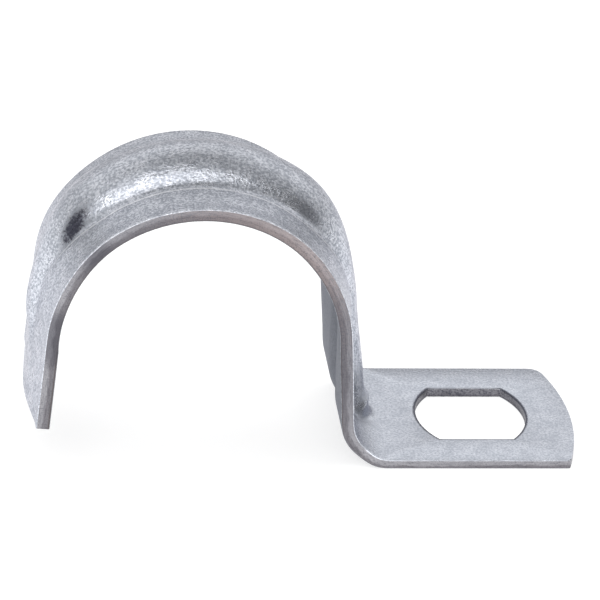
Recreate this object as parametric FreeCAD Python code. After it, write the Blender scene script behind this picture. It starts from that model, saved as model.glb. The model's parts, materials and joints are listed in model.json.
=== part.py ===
# Conduit strap, one hole: a single stamped sheet of zinc plated steel.
# Millimetres. +X runs from the conduit to the foot, +Y along the conduit,
# +Z away from the mounting surface. The origin is on the mounting surface at
# the middle of the screw slot. The shape is drawn with X counted from the
# conduit's axis, then moved there in the last step.
import FreeCAD
import Part
import math
import os

# the conduit it holds, trade size 3/4 EMT
conduit_diameter = 23.42
conduit_clearance = 0.09  # radial, before the screw pulls the strap down
conduit_pinch = 0.37  # how far the seat is lower than the conduit when loose
# the sheet
strip_width = 16.3  # flat blank, before the rib takes some up
arch_thickness = 1.10
foot_thickness = 0.80
margin_width = 1.1  # flat strip along each edge, where the seat bears
# the arch
leg_splay = 3.9  # degrees the free leg leans out
wall_splay = 4.6  # degrees the foot's wall leans out
free_end_height = 3.8
free_end_sagitta = 0.5
crown_height = 0.5  # shallow doming between the two margins
# the embossed rib
rib_height = 1.95  # over the top of the arch, above the crown
rib_side_height = 0.65  # where it runs down to the leg and the wall
rib_low_angle = 11.0  # degrees above level where it starts to grow
rib_full_angle = 53.0  # and where it is full
rib_width = 7.8
rib_leg_width = 4.6
rib_wall_width = 5.4
rib_root_radius = 0.9
rib_start_height = 7.4  # where it rises out of the free leg
rib_rise = 4.4  # length of that rise
# the foot
bend_radius = 4.2  # outside of the fold
foot_reach = 33.25  # conduit axis to the foot's tip
foot_end_radius = 25.0
foot_end_shift = 1.0  # the rounded end is cut this far off centre
foot_front_corner = 0.4
foot_back_corner = 1.4
slot_centre = 24.6  # conduit axis to the slot's middle
slot_length = 9.5
slot_width = 8.85
slot_flat = 6.3
# the rib's end, standing across the inside of the fold
gusset_height = 1.6
gusset_hold = 42.0  # degrees round the fold before it falls away
gusset_end = 82.0  # and where it is gone

# worked out from the sizes above
seat_radius = conduit_diameter / 2 + conduit_clearance
axis_height = conduit_diameter - conduit_pinch - seat_radius
outer_radius = seat_radius + arch_thickness
sizing = 0.05  # the seat is left this much small, then sized round
leg_angle = math.radians(leg_splay)
wall_angle = math.radians(wall_splay)
concave_radius = bend_radius - (arch_thickness + foot_thickness) / 2
slot_rise = (slot_length - slot_flat) / 2
slot_end_radius = ((slot_width / 2) ** 2 + slot_rise ** 2) / (2 * slot_rise)
end_over = 2.0  # the free leg is drawn this much long, then trimmed


def ease(value, low, high):
    """0 below low, 1 above high, smooth between."""
    u = min(1.0, max(0.0, (value - low) / (high - low)))
    return u * u * (3 - 2 * u)


def bump(y, half, height, root):
    """Height of the rib's section at y: a round crest between two root radii."""
    y = abs(y)
    if height < 1e-4 or y >= half:
        return 0.0
    both = (half * half + height * height) / (2 * height)
    root = min(root, both * 0.75)
    crest = both - root
    if y <= crest * half / both:
        return height - crest + math.sqrt(crest * crest - y * y)
    return root - math.sqrt(root * root - (half - y) ** 2)


def profile(y, flat, crown, height, half, root):
    """Height of the whole section at y: the crown and the rib on it."""
    dome = crown * max(0.0, 1 - (y / flat) ** 2) ** 1.5
    return dome + bump(y, half, height, root)


def strip_edge(crown, height, half):
    """Half the strip's width once the crown and the rib have taken up their share."""
    flat = strip_width / 2 - margin_width
    step = flat / 60
    edge = strip_width / 2
    last = profile(0, flat, crown, height, half, rib_root_radius)
    for i in range(1, 61):
        level = profile(step * i, flat, crown, height, half, rib_root_radius)
        edge -= math.hypot(step, level - last) - step
        last = level
    return edge


# the section's curves are held at these shares of the rib's half width, then of what is left
rib_shares = [0.22, 0.42, 0.6, 0.74, 0.84, 0.93, 1.01, 1.1, 1.24]
side_shares = [0.5, 1.0]


def stations(flat, half):
    """Places across the strip, closer together at the rib's roots."""
    out = [share * half for share in rib_shares]
    last = out[-1]
    out += [last + share * (flat - last) for share in side_shares]
    return [-y for y in reversed(out)] + [0.0] + out


def section(point, normal, thickness, crown, height, half):
    """Closed section of the sheet across the strip, as one wire of eight edges."""
    edge = strip_edge(crown, height, half)
    flat = edge - margin_width

    def place(y, out):
        return FreeCAD.Vector(point[0] + normal[0] * out, y, point[1] + normal[1] * out)

    def across(root, drop):
        points = []
        for y in stations(flat, half):
            points.append(place(y, profile(y, flat, crown, height, half, root) - drop))
        knots = stations(strip_width / 2 - margin_width, rib_width / 2)
        level = FreeCAD.Vector(0, 1, 0)
        curve = Part.BSplineCurve()
        ends = {"InitialTangent": level, "FinalTangent": level, "Scale": False}
        curve.interpolate(Points=points, Parameters=knots, **ends)
        return curve.toShape()

    def line(y0, out0, y1, out1):
        return Part.makeLine(place(y0, out0), place(y1, out1))

    top = across(rib_root_radius, 0.0)
    under = across(rib_root_radius + thickness, thickness)
    edges = [line(-edge, -thickness, -edge, 0)]
    edges.append(line(-edge, 0, -flat, 0))
    edges.append(top)
    edges.append(line(flat, 0, edge, 0))
    edges.append(line(edge, 0, edge, -thickness))
    edges.append(line(edge, -thickness, flat, -thickness))
    edges.append(under)
    edges.append(line(-flat, -thickness, -edge, -thickness))
    return Part.Wire(edges)


# the strip's path, on the outside of the sheet
sheet = arch_thickness + sizing
leg_top = (-outer_radius * math.cos(leg_angle), axis_height + outer_radius * math.sin(leg_angle))
leg_normal = (-math.cos(leg_angle), math.sin(leg_angle))
leg_down = (-math.sin(leg_angle), -math.cos(leg_angle))
leg_length = (leg_top[1] - free_end_height) / math.cos(leg_angle) + end_over
wall_top = (outer_radius * math.cos(wall_angle), axis_height + outer_radius * math.sin(wall_angle))
wall_normal = (math.cos(wall_angle), math.sin(wall_angle))
wall_down = (math.sin(wall_angle), -math.cos(wall_angle))
inner_wall = (wall_top[0] - wall_normal[0] * arch_thickness, wall_top[1] - wall_normal[1] * arch_thickness)
print("seat", round(seat_radius, 3), "axis height", round(axis_height, 3))


def beside_wall(start, radius, floor):
    """Centre of the fold's arc: a radius out from the wall and from the floor."""
    down = (start[1] + wall_normal[1] * radius - floor - radius) / math.cos(wall_angle)
    x = start[0] + wall_down[0] * down + wall_normal[0] * radius
    return (x, floor + radius), down


concave_centre, wall_length = beside_wall(wall_top, concave_radius, foot_thickness)
convex_centre, _ = beside_wall(inner_wall, bend_radius, 0.0)


def fold_thickness(direction):
    """Distance through the sheet at the fold, along a ray from the concave centre."""
    dx = concave_centre[0] - convex_centre[0]
    dz = concave_centre[1] - convex_centre[1]
    b = dx * direction[0] + dz * direction[1]
    c = dx * dx + dz * dz - bend_radius ** 2
    reach = -b + math.sqrt(b * b - c)
    if dx + reach * direction[0] > 0:
        reach = concave_centre[1] / -direction[1]
    side = (dx + reach * direction[0]) * wall_down[0] + (dz + reach * direction[1]) * wall_down[1]
    if side < 0:
        along = direction[0] * wall_normal[0] + direction[1] * wall_normal[1]
        reach = (concave_radius + arch_thickness) / -along
    return reach - concave_radius


sections = []
leg_sections = 9
arch_sections = 28
wall_sections = 5
fold_sections = 24
# free leg, from below its end up to the arch
for i in range(leg_sections):
    down = leg_length * (1 - i / leg_sections)
    point = (leg_top[0] + leg_down[0] * down, leg_top[1] + leg_down[1] * down)
    grown = ease(point[1], rib_start_height, rib_start_height + rib_rise)
    half = rib_leg_width / 2 * (0.55 + 0.45 * grown)
    sections.append(section(point, leg_normal, sheet, crown_height, rib_side_height * grown, half))
# arch
turn_from = 180.0 - leg_splay
turn_to = wall_splay
for i in range(arch_sections + 1):
    angle = turn_from + (turn_to - turn_from) * i / arch_sections
    normal = (math.cos(math.radians(angle)), math.sin(math.radians(angle)))
    point = (outer_radius * normal[0], axis_height + outer_radius * normal[1])
    full = ease(min(angle, 180.0 - angle), rib_low_angle, rib_full_angle)
    side_width = rib_leg_width
    grown = ease(point[1], rib_start_height, rib_start_height + rib_rise)
    if angle < 90:
        side_width = rib_wall_width
        grown = 1.0
    height = rib_side_height * grown + (rib_height - rib_side_height) * full
    half = (side_width + (rib_width - side_width) * full) / 2 * (0.55 + 0.45 * grown)
    sections.append(section(point, normal, sheet, crown_height, height, half))
# wall
for i in range(1, wall_sections + 1):
    down = wall_length * i / (wall_sections + 1)
    point = (wall_top[0] + wall_down[0] * down, wall_top[1] + wall_down[1] * down)
    low = ease(down, 0.0, wall_length)
    height = rib_side_height + (gusset_height - rib_side_height) * low
    through = sheet - sizing * low
    crown = crown_height * (1 - low)
    sections.append(section(point, wall_normal, through, crown, height, rib_wall_width / 2))
# fold
for i in range(1, fold_sections + 1):
    share = i / fold_sections
    ray = math.radians(180.0 + wall_splay + (90.0 - wall_splay) * share)
    direction = (math.cos(ray), math.sin(ray))
    x = concave_centre[0] + concave_radius * direction[0]
    z = concave_centre[1] + concave_radius * direction[1]
    normal = (-direction[0], -direction[1])
    fall = ease(share * 90.0, gusset_hold, gusset_end)
    height = gusset_height * (1 - fall)
    half = rib_wall_width / 2 * (1 - 0.55 * fall)
    sections.append(section((x, z), normal, fold_thickness(direction), 0.0, height, half))
strip = Part.makeLoft(sections, True, False)
print("strip faces", len(strip.Faces), "valid", strip.isValid(), "volume", round(strip.Volume, 1))

# foot plate with its rounded end
start = concave_centre[0]
edge = strip_width / 2
end_x = foot_reach - foot_end_radius
end_y = -foot_end_shift


def end_corner(side, radius):
    """Where a corner radius leaves the strip's edge and meets the end's arc, and its middle."""
    y = side * (edge - radius)
    x = end_x + math.sqrt((foot_end_radius - radius) ** 2 - (y - end_y) ** 2)
    away = math.atan2(y - end_y, x - end_x)
    half_way = (away + side * math.pi / 2) / 2
    on_edge = FreeCAD.Vector(x, side * edge, 0)
    on_end = FreeCAD.Vector(x + radius * math.cos(away), y + radius * math.sin(away), 0)
    middle = FreeCAD.Vector(x + radius * math.cos(half_way), y + radius * math.sin(half_way), 0)
    return on_edge, middle, on_end


front = end_corner(-1, foot_front_corner)
back = end_corner(1, foot_back_corner)
tip = FreeCAD.Vector(foot_reach, end_y, 0)
near = FreeCAD.Vector(start, -edge, 0)
far = FreeCAD.Vector(start, edge, 0)
outline = [Part.makeLine(near, front[0])]
outline.append(Part.Arc(*front).toShape())
outline.append(Part.Arc(front[2], tip, back[2]).toShape())
outline.append(Part.Arc(back[2], back[1], back[0]).toShape())
outline.append(Part.makeLine(back[0], far))
outline.append(Part.makeLine(far, near))
foot = Part.Face(Part.Wire(outline)).extrude(FreeCAD.Vector(0, 0, foot_thickness))

# slot with two flats and bowed ends
left = slot_centre - slot_flat / 2
right = slot_centre + slot_flat / 2
half = slot_width / 2
below = -1.0


def at(x, y):
    return FreeCAD.Vector(x, y, below)


slot = [Part.makeLine(at(left, -half), at(right, -half))]
slot.append(Part.Arc(at(right, -half), at(slot_centre + slot_length / 2, 0), at(right, half)).toShape())
slot.append(Part.makeLine(at(right, half), at(left, half)))
slot.append(Part.Arc(at(left, half), at(slot_centre - slot_length / 2, 0), at(left, -half)).toShape())
cutter = Part.Face(Part.Wire(slot)).extrude(FreeCAD.Vector(0, 0, foot_thickness - 2 * below))

# what is trimmed off the free leg, with a slightly bowed end
down = (leg_top[1] - free_end_height) / math.cos(leg_angle)
tongue = strip_width / 2 + 1.0
bow = free_end_sagitta * (tongue / (strip_width / 2)) ** 2


def on_leg(y, along):
    out = -arch_thickness - 3.0
    x = leg_top[0] + leg_down[0] * along + leg_normal[0] * out
    z = leg_top[1] + leg_down[1] * along + leg_normal[1] * out
    return FreeCAD.Vector(x, y, z)


bottom = down + end_over + 2.0
low = down - bow + free_end_sagitta
lowest = on_leg(0, down + free_end_sagitta)
trim = [Part.Arc(on_leg(-tongue, low), lowest, on_leg(tongue, low)).toShape()]
trim.append(Part.makeLine(on_leg(tongue, low), on_leg(tongue, bottom)))
trim.append(Part.makeLine(on_leg(tongue, bottom), on_leg(-tongue, bottom)))
trim.append(Part.makeLine(on_leg(-tongue, bottom), on_leg(-tongue, low)))
through = arch_thickness + 6.0
outward = FreeCAD.Vector(leg_normal[0] * through, 0, leg_normal[1] * through)
trimmed = Part.Face(Part.Wire(trim)).extrude(outward)

# the conduit's seat, sized round
beside = FreeCAD.Vector(0, -strip_width, axis_height)
seat = Part.makeCylinder(seat_radius, strip_width * 2, beside, FreeCAD.Vector(0, 1, 0))

body = strip.fuse(foot).removeSplitter()
print("joined", len(body.Solids), body.isValid())
body = body.cut(cutter).cut(trimmed).cut(seat)
print("cut", len(body.Solids), body.isValid())
solid = body.Solids[0]
solid.translate(FreeCAD.Vector(-slot_centre, 0, 0))
os.makedirs("parts", exist_ok=True)
solid.exportStep("parts/strap_body.step")
box = solid.BoundBox
print("box", [round(v, 2) for v in (box.XMin, box.XMax, box.YMin, box.YMax, box.ZMin, box.ZMax)])
print("faces", len(solid.Faces), "volume", round(solid.Volume, 1))
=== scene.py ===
import json
import math

import bpy
from mathutils import Matrix, Vector


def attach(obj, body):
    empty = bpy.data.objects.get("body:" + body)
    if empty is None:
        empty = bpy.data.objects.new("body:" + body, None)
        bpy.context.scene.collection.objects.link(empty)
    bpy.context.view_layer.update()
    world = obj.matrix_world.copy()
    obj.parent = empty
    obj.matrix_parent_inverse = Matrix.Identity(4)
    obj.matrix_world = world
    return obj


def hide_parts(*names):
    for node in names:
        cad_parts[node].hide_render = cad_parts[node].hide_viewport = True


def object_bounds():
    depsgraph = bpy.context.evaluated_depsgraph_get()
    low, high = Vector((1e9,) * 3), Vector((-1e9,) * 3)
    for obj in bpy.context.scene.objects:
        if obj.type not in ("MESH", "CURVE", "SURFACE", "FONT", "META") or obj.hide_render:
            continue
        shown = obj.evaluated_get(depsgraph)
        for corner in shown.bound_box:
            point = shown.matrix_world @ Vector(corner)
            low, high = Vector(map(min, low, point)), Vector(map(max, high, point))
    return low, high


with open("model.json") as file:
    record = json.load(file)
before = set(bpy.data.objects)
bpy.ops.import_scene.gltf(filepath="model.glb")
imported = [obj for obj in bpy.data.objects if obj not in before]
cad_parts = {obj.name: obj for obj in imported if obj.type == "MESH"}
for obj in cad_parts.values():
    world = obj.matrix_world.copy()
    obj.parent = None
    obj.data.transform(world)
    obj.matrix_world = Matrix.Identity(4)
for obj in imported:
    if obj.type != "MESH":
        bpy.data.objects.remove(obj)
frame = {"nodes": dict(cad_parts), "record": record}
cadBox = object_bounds()
strapNode = frame["nodes"]["strap_body"]
scene = bpy.context.scene
scene.view_settings.view_transform = "Standard"
print("frame loaded")


# the camera stands in front of the arch, a little towards the free leg, and looks down
camera = {
    "aim": (-0.01544, -0.00039, 0.01201),
    "azimuth": -7.63,
    "elevation": 27.834,
    "roll": 3.805,
    "distance": 0.50653,
    "lens": 358.7,
    "sensor": 36.0,
    "clip": (0.01, 20.0),
}


def placeCamera(c):
    azimuth = math.radians(c["azimuth"])
    elevation = math.radians(c["elevation"])
    flat = math.cos(elevation)
    back = Vector((math.sin(azimuth) * flat, -math.cos(azimuth) * flat, math.sin(elevation)))
    data = bpy.data.cameras.new("camera")
    data.lens = c["lens"]
    data.sensor_width = c["sensor"]
    data.clip_start, data.clip_end = c["clip"]
    eye = bpy.data.objects.new("camera", data)
    bpy.context.collection.objects.link(eye)
    level = back.to_track_quat("Z", "Y").to_matrix().to_4x4()
    place = Matrix.Translation(Vector(c["aim"]) + back * c["distance"])
    eye.matrix_world = place @ level @ Matrix.Rotation(math.radians(c["roll"]), 4, "Z")
    scene.camera = eye


placeCamera(camera)
print("camera placed")


# where the sheet runs, so that the finish can follow it
sheetPath = {
    "outerRadius": 0.0129,
    "legSplay": 3.9,
    "wallSplay": 4.6,
    "foldRadius": 0.00325,  # inside of the fold
    "footThickness": 0.0008,
}
seatMount = [m for m in frame["record"]["mounts"] if m["name"] == "conduit_seat"][0]
seatAxis = Vector(seatMount["pos_m"])


# length along the strip, depth under its outer face, and that face's direction
def onSheet(point, p):
    leg = math.radians(p["legSplay"])
    wall = math.radians(p["wallSplay"])
    outer = p["outerRadius"]
    dx = point.x - seatAxis.x
    dz = point.z - seatAxis.z
    angle = math.atan2(dz, dx)
    if angle < -math.pi / 2:
        angle += 2 * math.pi
    if wall <= angle <= math.pi - leg:
        out = Vector((math.cos(angle), 0.0, math.sin(angle)))
        return outer * (math.pi / 2 - angle), outer - math.hypot(dx, dz), out
    if dx < 0:
        out = Vector((-math.cos(leg), 0.0, math.sin(leg)))
        down = -dz - outer * math.sin(leg)
        return -outer * (math.pi / 2 - leg) - down, outer - dx * out.x - dz * out.z, out
    out = Vector((math.cos(wall), 0.0, math.sin(wall)))
    turn = p["footThickness"] + p["foldRadius"]  # height of the fold's centre
    rise = turn - seatAxis.z
    centreX = (outer + p["foldRadius"] - rise * out.z) / out.x
    start = outer * (math.pi / 2 - wall)
    fromX = dx - centreX
    fromZ = dz - rise
    if fromX > 0:
        quarter = p["foldRadius"] * (math.pi / 2 - wall)
        return start - rise + quarter + fromX, p["footThickness"] - point.z, Vector((0.0, 0.0, 1.0))
    if fromX * out.z - fromZ * out.x > 0:
        away = math.hypot(fromX, fromZ)
        turned = math.atan2(-fromZ, -fromX) + wall
        along = start - rise + p["foldRadius"] * turned
        return along, away - p["foldRadius"], Vector((-fromX / away, 0.0, -fromZ / away))
    return start - dz, outer - dx * out.x - dz * out.z, out


# shader helpers
def put(tree, socket, value):
    if isinstance(value, bpy.types.NodeSocket):
        tree.links.new(value, socket)
    else:
        socket.default_value = value


def calc(tree, operation, *values):
    node = tree.nodes.new("ShaderNodeMath")
    node.operation = operation
    for i, value in enumerate(values):
        put(tree, node.inputs[i], value)
    return node.outputs[0]


def stretched(tree, vector, factors):
    node = tree.nodes.new("ShaderNodeVectorMath")
    node.operation = "MULTIPLY"
    put(tree, node.inputs[0], vector)
    put(tree, node.inputs[1], factors)
    return node.outputs[0]


def noise(tree, vector, scale, detail, rough=0.55):
    node = tree.nodes.new("ShaderNodeTexNoise")
    put(tree, node.inputs["Vector"], vector)
    put(tree, node.inputs["Scale"], scale)
    put(tree, node.inputs["Detail"], detail)
    put(tree, node.inputs["Roughness"], rough)
    return node.outputs["Fac"]


def remap(tree, value, low, high, toLow=0.0, toHigh=1.0):
    node = tree.nodes.new("ShaderNodeMapRange")
    node.interpolation_type = "SMOOTHSTEP"
    sockets = {"Value": value, "From Min": low, "From Max": high, "To Min": toLow, "To Max": toHigh}
    for name, number in sockets.items():
        put(tree, node.inputs[name], number)
    return node.outputs["Result"]


def blend(tree, factor, first, second):
    node = tree.nodes.new("ShaderNodeMix")
    node.data_type = "RGBA"
    put(tree, node.inputs[0], factor)
    put(tree, node.inputs[6], first)
    put(tree, node.inputs[7], second)
    return node.outputs[2]


def mixed(tree, first, second, share):
    return calc(tree, "ADD", calc(tree, "MULTIPLY", first, 1 - share), calc(tree, "MULTIPLY", second, share))


def distance(tree, a, b):
    squares = calc(tree, "ADD", calc(tree, "MULTIPLY", a, a), calc(tree, "MULTIPLY", b, b))
    return calc(tree, "SQRT", squares)


def apart(tree, a, b):
    return calc(tree, "ABSOLUTE", calc(tree, "SUBTRACT", a, b))


# pushes a value up and down by a grain that runs around a half
def shaken(tree, value, grain, amount):
    return calc(tree, "ADD", value, calc(tree, "MULTIPLY", calc(tree, "SUBTRACT", grain, 0.5), amount))


def readAttribute(tree, name):
    node = tree.nodes.new("ShaderNodeAttribute")
    node.attribute_name = name
    return node.outputs


def newGroup(name, inputs, outputs):
    group = bpy.data.node_groups.new(name, "ShaderNodeTree")
    for label, value in inputs.items():
        socket = group.interface.new_socket(name=label, in_out="INPUT", socket_type="NodeSocketFloat")
        socket.default_value = value
    for label in outputs:
        group.interface.new_socket(name=label, in_out="OUTPUT", socket_type="NodeSocketFloat")
    return group, group.nodes.new("NodeGroupInput"), group.nodes.new("NodeGroupOutput")


# crystal specks, drawing lines along the sheet and broad clouds, in millimetres
sheetGrain = {
    "speckSize": 0.2,
    "lineWidth": 0.12,
    "lineStretch": 0.09,
    "detail": 3.0,
    "roughness": 0.6,
    "cloudScale": 0.8,
    "cloudDetail": 4.0,
}


def makeGrainGroup(g):
    inputs = {"Speck Size": g["speckSize"], "Line Width": g["lineWidth"]}
    names = ("Specks", "Lines", "Clouds", "Along", "Across", "Depth")
    group, start, end = newGroup("sheetGrain", inputs, names)
    millimetres = (1000.0, 1000.0, 1000.0)
    place = stretched(group, readAttribute(group, "sheet")["Vector"], millimetres)
    split = group.nodes.new("ShaderNodeSeparateXYZ")
    put(group, split.inputs[0], place)
    speckScale = calc(group, "DIVIDE", 1.0, start.outputs["Speck Size"])
    lineScale = calc(group, "DIVIDE", 1.0, start.outputs["Line Width"])
    specks = noise(group, place, speckScale, g["detail"], g["roughness"])
    lines = noise(group, stretched(group, place, (g["lineStretch"], 1.0, 1.0)), lineScale, g["detail"])
    clouds = noise(group, place, g["cloudScale"], g["cloudDetail"], g["roughness"])
    for name, value in zip(names, (specks, lines, clouds, *split.outputs)):
        put(group, end.inputs[name], value)
    return group


# bright rubbed metal where the sheet's edges turn
edgeWear = {
    "radius": 0.0002,
    "breakUp": 0.5,
    "samples": 6,
    "chipScale": 2600.0,
    "chipDetail": 3.0,
    "turn": (0.01, 0.12),
    "fade": (0.2, 0.15),  # under and over the break up
}


def makeWearGroup(w):
    inputs = {"Radius": w["radius"], "Break Up": w["breakUp"]}
    group, start, end = newGroup("edgeWear", inputs, ["Mask"])
    rounded = group.nodes.new("ShaderNodeBevel")
    rounded.samples = w["samples"]
    put(group, rounded.inputs["Radius"], start.outputs["Radius"])
    plain = group.nodes.new("ShaderNodeNewGeometry")
    dot = group.nodes.new("ShaderNodeVectorMath")
    dot.operation = "DOT_PRODUCT"
    put(group, dot.inputs[0], rounded.outputs[0])
    put(group, dot.inputs[1], plain.outputs["Normal"])
    chips = noise(group, readAttribute(group, "sheet")["Vector"], w["chipScale"], w["chipDetail"])
    turned = remap(group, calc(group, "SUBTRACT", 1.0, dot.outputs["Value"]), *w["turn"])
    low = calc(group, "SUBTRACT", start.outputs["Break Up"], w["fade"][0])
    high = calc(group, "ADD", start.outputs["Break Up"], w["fade"][1])
    put(group, end.inputs["Mask"], calc(group, "MULTIPLY", turned, remap(group, chips, low, high)))
    return group


grainGroup = makeGrainGroup(sheetGrain)
wearGroup = makeWearGroup(edgeWear)


def addGroup(tree, group, **values):
    node = tree.nodes.new("ShaderNodeGroup")
    node.node_tree = group
    for name, value in values.items():
        node.inputs[name.replace("_", " ")].default_value = value
    return node


def newMaterial(name):
    mat = bpy.data.materials.new(name)
    mat.use_nodes = True
    return mat, mat.node_tree, mat.node_tree.nodes["Principled BSDF"]


# how an oval stain or patch of painted shade breaks up towards its edge, as shares of its half size
stainAndShadeEdge = {"ragged": 2.4, "from": 0.35, "to": 1.2}


# a stain or patch of painted shade is along, across, half length and half width in millimetres, and the
# strength in its middle
def spot(tree, grain, stainAndShade):
    along, across, length, width, strength = stainAndShade
    a = calc(tree, "DIVIDE", calc(tree, "SUBTRACT", grain.outputs["Along"], along), length)
    b = calc(tree, "DIVIDE", calc(tree, "SUBTRACT", grain.outputs["Across"], across), width)
    ragged = shaken(tree, distance(tree, a, b), grain.outputs["Specks"], stainAndShadeEdge["ragged"])
    return remap(tree, ragged, stainAndShadeEdge["from"], stainAndShadeEdge["to"], strength, 0.0)


# darkest of the listed stains and patches of painted shade
def dirtAndShadeMask(tree, grain, stainsAndShade):
    dirtAndShade = 0.0
    for stainAndShade in stainsAndShade:
        dirtAndShade = calc(tree, "MAXIMUM", dirtAndShade, spot(tree, grain, stainAndShade))
    return dirtAndShade


# painted shade: a dark line round the edge of the screw slot, in millimetres
slotRimShade = {
    "middle": 39.09,
    "endCentre": 2.169,
    "endRadius": 6.919,
    "half": 4.425,
    "width": 0.26,
    "inner": 0.35,  # share of the width that is full
    "ragged": 0.35,
    "sides": 0.35,  # strength at the flats, then at the bowed ends
    "ends": 0.9,
    "endsFrom": (2.4, 3.6),  # from the slot's middle
}


# painted shade mask: 1 at the slot's edge, 0 a rim's width away from it
def rimShadeMask(tree, grain, r):
    x = apart(tree, grain.outputs["Along"], r["middle"])
    y = calc(tree, "ABSOLUTE", grain.outputs["Across"])
    bowed = distance(tree, calc(tree, "ADD", x, r["endCentre"]), y)
    fromEnd = calc(tree, "SUBTRACT", bowed, r["endRadius"])
    fromSlot = calc(tree, "MAXIMUM", fromEnd, calc(tree, "SUBTRACT", y, r["half"]))
    strength = remap(tree, x, *r["endsFrom"], r["sides"], r["ends"])
    ragged = shaken(tree, fromSlot, grain.outputs["Specks"], r["ragged"])
    rimShade = remap(tree, ragged, r["width"] * r["inner"], r["width"], 1.0, 0.0)
    return calc(tree, "MULTIPLY", strength, rimShade)


# painted highlight: a light line along the root of the rib, in millimetres
creaseHighlightLine = {
    "half": 3.95,  # half the rib's width at the top
    "narrows": 1.35,
    "narrowing": (8.3, 17.8),  # along the strip from the top of the arch, as the fade is
    "width": 0.10,
    "inner": 0.4,
    "strength": 0.85,
    "fade": (12.0, 18.0),
    "back": 0.2,  # share left on the back root, and where across the strip it changes
    "turn": (-1.0, 1.0),
}


# mask of the painted highlight along the rib's root
def creaseHighlightMask(tree, grain, c):
    along = calc(tree, "ABSOLUTE", grain.outputs["Along"])
    root = calc(tree, "SUBTRACT", c["half"], remap(tree, along, *c["narrowing"], 0.0, c["narrows"]))
    off = apart(tree, calc(tree, "ABSOLUTE", grain.outputs["Across"]), root)
    line = remap(tree, off, c["width"] * c["inner"], c["width"], 1.0, 0.0)
    onArch = remap(tree, along, *c["fade"], c["strength"], 0.0)
    front = remap(tree, grain.outputs["Across"], *c["turn"], 1.0, c["back"])
    return calc(tree, "MULTIPLY", line, calc(tree, "MULTIPLY", onArch, front))


def addRelief(tree, shader, height, z):
    bump = tree.nodes.new("ShaderNodeBump")
    bump.inputs["Strength"].default_value = z["bump"]
    bump.inputs["Distance"].default_value = z["bumpHeight"]
    put(tree, bump.inputs["Height"], height)
    put(tree, shader.inputs["Normal"], bump.outputs["Normal"])


# zinc skin on the sheet's faces
zincSkin = {
    "light": (0.80, 0.83, 0.90, 1.0),
    "dull": (0.38, 0.41, 0.47, 1.0),
    # dark colour for the painted reflections and painted shade
    "stainAndShade": (0.04, 0.04, 0.06, 1.0),
    # painted shade: all inner and under faces are given this darker colour
    "inside": (0.26, 0.27, 0.30, 1.0),
    "crest": (0.36, 0.35, 0.36, 1.0),
    "bright": (0.90, 0.91, 0.94, 1.0),
    "grazing": (0.70, 0.69, 0.71, 1.0),
    "mottle": (0.40, 0.60),
    "speckShare": 0.75,  # of specks against clouds
    "evenDull": 0.45,
    "pressed": (24.0, 31.0),  # the foot was pressed flat, so it is smoother
    "pressedGrain": 0.5,
    "insideShadeShare": 0.9,
    "crestShare": 0.22,
    "crestFade": (9.0, 19.0),
    "wear": 0.5,
    "roughness": (0.24, 0.36),
    "roughnessFrom": (0.35, 0.65),
    "roughnessLines": 0.4,  # share of lines against clouds
    "insideRoughness": 0.8,
    "bump": 0.6,
    "bumpHeight": 0.00013,
    "bumpLines": 0.3,  # share of lines against specks
    # painted dark reflections on the rib's two flanks, and painted shade in the corner of the fold
    "stainsAndShade": [(-11.3, -2.7, 2.0, 0.65, 0.95), (9.3, -3.0, 1.8, 0.45, 0.4), (27.4, -1.9, 3.6, 1.3, 0.5)],
}


def makeZincSkin(z):
    mat, tree, shader = newMaterial("zincSkin")
    grain = addGroup(tree, grainGroup)
    wear = addGroup(tree, wearGroup)
    specks, lines, clouds = (grain.outputs[name] for name in ("Specks", "Lines", "Clouds"))
    plain = remap(tree, grain.outputs["Along"], *z["pressed"], 1.0, z["pressedGrain"])
    dullness = remap(tree, mixed(tree, clouds, specks, z["speckShare"]), *z["mottle"])
    uneven = calc(tree, "MULTIPLY", plain, calc(tree, "SUBTRACT", dullness, z["evenDull"]))
    dullness = calc(tree, "ADD", z["evenDull"], uneven)
    colour = blend(tree, dullness, z["light"], z["dull"])
    inner = readAttribute(tree, "inside")["Fac"]
    outer = calc(tree, "SUBTRACT", 1.0, inner)
    # painted shade on the inner and under faces
    colour = blend(tree, calc(tree, "MULTIPLY", inner, z["insideShadeShare"]), colour, z["inside"])
    fromTop = calc(tree, "ABSOLUTE", grain.outputs["Along"])
    colour = blend(tree, remap(tree, fromTop, *z["crestFade"], z["crestShare"], 0.0), colour, z["crest"])
    # painted dark reflections and painted shade
    colour = blend(tree, dirtAndShadeMask(tree, grain, z["stainsAndShade"]), colour, z["stainAndShade"])
    rubbed = calc(tree, "MULTIPLY", wear.outputs["Mask"], z["wear"])
    # painted highlight along the rib's root, on the outer faces
    creaseHighlight = calc(tree, "MULTIPLY", creaseHighlightMask(tree, grain, creaseHighlightLine), outer)
    colour = blend(tree, calc(tree, "MAXIMUM", rubbed, creaseHighlight), colour, z["bright"])
    # painted shade round the screw slot's edge
    rimShade = calc(tree, "MULTIPLY", rimShadeMask(tree, grain, slotRimShade), outer)
    colour = blend(tree, rimShade, colour, z["stainAndShade"])
    put(tree, shader.inputs["Base Color"], colour)
    shader.inputs["Metallic"].default_value = 1.0
    shader.inputs["Specular Tint"].default_value = z["grazing"]
    streaks = mixed(tree, clouds, lines, z["roughnessLines"])
    rough = remap(tree, streaks, *z["roughnessFrom"], *z["roughness"])
    scuffed = calc(tree, "MULTIPLY", inner, calc(tree, "SUBTRACT", z["insideRoughness"], rough))
    put(tree, shader.inputs["Roughness"], calc(tree, "ADD", rough, scuffed))
    relief = mixed(tree, specks, lines, z["bumpLines"])
    addRelief(tree, shader, calc(tree, "MULTIPLY", relief, plain), z)
    return mat


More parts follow.
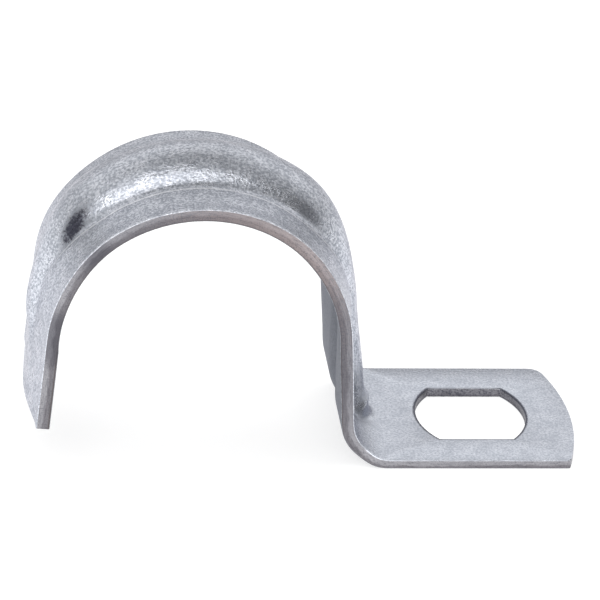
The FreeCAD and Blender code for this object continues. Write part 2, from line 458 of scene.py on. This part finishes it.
# sheared edges: a smooth rolled band and a torn one
cutSteel = {
    "band": (0.37, 0.365, 0.39, 1.0),
    "torn": (0.265, 0.255, 0.275, 1.0),
    "lip": (0.15, 0.13, 0.13, 1.0),
    "stainAndShade": (0.08, 0.08, 0.10, 1.0),
    "warm": (0.40, 0.33, 0.32, 1.0),
    "bright": (0.84, 0.85, 0.88, 1.0),
    "speckSize": 0.14,
    "lineWidth": 0.10,
    "waves": 0.7,  # how far the line between band and torn part wanders
    "tornFrom": (0.42, 0.62),  # depth in millimetres, and the lip's below
    "lipFrom": (0.93, 1.02),
    "lipShare": 0.9,
    "lines": (0.46, 0.7, 0.0, 0.4),  # from and to in the grain, then the stain's strength at each
    "specks": (0.48, 0.66, 0.0, 0.45),
    "wear": 0.6,
    "wearRadius": 0.00015,
    "roughness": (0.38, 0.6),
    "roughnessFrom": (0.3, 0.7),
    "bump": 0.7,
    "bumpHeight": 0.00006,
    "bumpLines": 0.6,
    "warmPlace": (7.0, -8.0, 11.0, 3.0, 0.6),
    # the last patch is painted shade on the screw slot's walls; the others are stains on the front cut face
    "stainsAndShade": [(-18.2, -8.0, 2.0, 3.0, 0.6), (-10.4, -8.0, 2.2, 3.0, 0.6), (-3.0, -8.0, 9.0, 3.0, 0.25),
               (20.0, -8.0, 7.0, 3.0, 0.4), (39.1, 0.0, 8.0, 7.0, 0.95)],
}


def makeCutSteel(z):
    mat, tree, shader = newMaterial("cutSteel")
    grain = addGroup(tree, grainGroup, Speck_Size=z["speckSize"], Line_Width=z["lineWidth"])
    wear = addGroup(tree, wearGroup, Radius=z["wearRadius"])
    specks, lines, clouds = (grain.outputs[name] for name in ("Specks", "Lines", "Clouds"))
    depth = grain.outputs["Depth"]
    wavy = shaken(tree, depth, clouds, z["waves"])
    colour = blend(tree, remap(tree, wavy, *z["tornFrom"]), z["band"], z["torn"])
    colour = blend(tree, spot(tree, grain, z["warmPlace"]), colour, z["warm"])
    colour = blend(tree, remap(tree, lines, *z["lines"]), colour, z["stainAndShade"])
    colour = blend(tree, remap(tree, specks, *z["specks"]), colour, z["stainAndShade"])
    colour = blend(tree, remap(tree, depth, *z["lipFrom"], 0.0, z["lipShare"]), colour, z["lip"])
    # stains on the cut faces, and painted shade on the screw slot's walls
    colour = blend(tree, dirtAndShadeMask(tree, grain, z["stainsAndShade"]), colour, z["stainAndShade"])
    colour = blend(tree, calc(tree, "MULTIPLY", wear.outputs["Mask"], z["wear"]), colour, z["bright"])
    put(tree, shader.inputs["Base Color"], colour)
    shader.inputs["Metallic"].default_value = 1.0
    put(tree, shader.inputs["Roughness"], remap(tree, wavy, *z["roughnessFrom"], *z["roughness"]))
    addRelief(tree, shader, mixed(tree, specks, lines, z["bumpLines"]), z)
    return mat


# the strap: the stamped sheet with its sheared edges broken
strapPiece = {
    "weld": 0.0000005,
    "edgeRound": 0.00007,
    "edgeSegments": 2,
    "edgeAngle": 40.0,
    "smoothAngle": 30.0,
    "cutLimit": 0.3,  # a face is sheared where its normal points out of the sheet less than this
}


def makeStrap(s):
    bpy.ops.object.select_all(action="DESELECT")
    strapNode.select_set(True)
    bpy.context.view_layer.objects.active = strapNode
    bpy.ops.object.duplicate()
    piece = bpy.context.object
    piece.name = "strap"
    bpy.ops.object.mode_set(mode="EDIT")
    bpy.ops.mesh.select_all(action="SELECT")
    bpy.ops.mesh.remove_doubles(threshold=s["weld"])
    bpy.ops.object.mode_set(mode="OBJECT")
    edges = piece.modifiers.new("broken edges", "BEVEL")
    edges.width = s["edgeRound"]
    edges.segments = s["edgeSegments"]
    edges.limit_method = "ANGLE"
    edges.angle_limit = math.radians(s["edgeAngle"])
    edges.use_clamp_overlap = False
    bpy.ops.object.modifier_apply(modifier=edges.name)
    bpy.ops.object.shade_smooth_by_angle(angle=math.radians(s["smoothAngle"]))
    mesh = piece.data
    for vertex in mesh.vertices:
        for i in range(3):
            vertex.co[i] = min(cadBox[1][i], max(cadBox[0][i], vertex.co[i]))  # rounding may not stand proud
    mesh.materials.clear()
    mesh.materials.append(makeZincSkin(zincSkin))
    mesh.materials.append(makeCutSteel(cutSteel))
    inside = mesh.attributes.new("inside", "FLOAT", "FACE")
    for face in mesh.polygons:
        out = onSheet(face.center, sheetPath)[2]
        facing = face.normal.dot(out)
        face.material_index = 1 if abs(facing) < s["cutLimit"] else 0
        inside.data[face.index].value = 1.0 if facing < 0 else 0.0
    layer = mesh.attributes.new("sheet", "FLOAT_VECTOR", "POINT")
    for vertex in mesh.vertices:
        along, depth = onSheet(vertex.co, sheetPath)[:2]
        layer.data[vertex.index].vector = (along, vertex.co.y, depth)
    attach(piece, "root")
    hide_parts("strap_body")
    print("strap", len(mesh.polygons), "faces")


makeStrap(strapPiece)


# studio: pale floor, one big lamp over it, a soft box by the camera, a room that darkens upwards
floorLook = {
    "size": 3.0,
    "gap": 0.00002,  # keeps the foot's underside off the floor
    "colour": (0.42, 0.42, 0.42, 1.0),
    "roughness": 0.9,
    "glow": 0.68,
}


def makeFloor(f):
    bpy.ops.object.select_all(action="DESELECT")
    bpy.ops.mesh.primitive_plane_add(size=f["size"], location=(0.0, 0.0, cadBox[0][2] - f["gap"]))
    floor = bpy.context.object
    floor.name = "floor"
    mat, tree, shader = newMaterial("paper")
    shader.inputs["Base Color"].default_value = f["colour"]
    shader.inputs["Roughness"].default_value = f["roughness"]
    shader.inputs["Specular IOR Level"].default_value = 0.0
    shader.inputs["Emission Color"].default_value = (1.0, 1.0, 1.0, 1.0)
    path = tree.nodes.new("ShaderNodeLightPath")
    seen = calc(tree, "MAXIMUM", path.outputs["Is Camera Ray"], path.outputs["Is Glossy Ray"])
    seen = calc(tree, "MAXIMUM", seen, path.outputs["Is Transmission Ray"])
    put(tree, shader.inputs["Emission Strength"], calc(tree, "MULTIPLY", seen, f["glow"]))
    floor.data.materials.append(mat)


makeFloor(floorLook)

lamps = {
    "overhead": {"from": (0.1, 0.2, 1.3), "size": (1.2, 1.2), "watts": 12.0, "inMetal": False},
    "softBox": {"from": (-0.25, -0.81, 0.54), "size": (1.3, 1.05), "watts": 8.6, "inMetal": True},
}


def makeLamp(name, a):
    bpy.ops.object.light_add(type="AREA", location=a["from"])
    lamp = bpy.context.object
    lamp.name = name
    lamp.data.shape = "RECTANGLE"
    lamp.data.size = a["size"][0]
    lamp.data.size_y = a["size"][1]
    lamp.data.energy = a["watts"]
    lamp.rotation_euler = Vector(a["from"]).to_track_quat("Z", "Y").to_euler()
    lamp.visible_glossy = a["inMetal"]


for name, values in lamps.items():
    makeLamp(name, values)

# brightness of the room's sides, and the directions between which they change
room = {
    "back": 1.02,
    "front": 0.18,
    "low": 0.62,
    "top": 0.36,
    "turn": (-0.35, 0.2),
    "rise": (0.78, 0.97),
    "lowRise": (0.1, 0.45),
}


def makeRoom(r):
    world = bpy.data.worlds.new("room")
    scene.world = world
    world.use_nodes = True
    tree = world.node_tree
    where = tree.nodes.new("ShaderNodeTexCoord")
    split = tree.nodes.new("ShaderNodeSeparateXYZ")
    put(tree, split.inputs[0], where.outputs["Generated"])
    back = remap(tree, split.outputs[2], *r["lowRise"], r["low"], r["back"])
    side = remap(tree, split.outputs[1], *r["turn"], r["front"], back)
    high = remap(tree, split.outputs[2], *r["rise"])
    sides = calc(tree, "MULTIPLY", side, calc(tree, "SUBTRACT", 1.0, high))
    level = calc(tree, "ADD", sides, calc(tree, "MULTIPLY", high, r["top"]))
    put(tree, tree.nodes["Background"].inputs["Color"], level)
    tree.nodes["Background"].inputs["Strength"].default_value = 1.0


makeRoom(room)
print("studio lit")
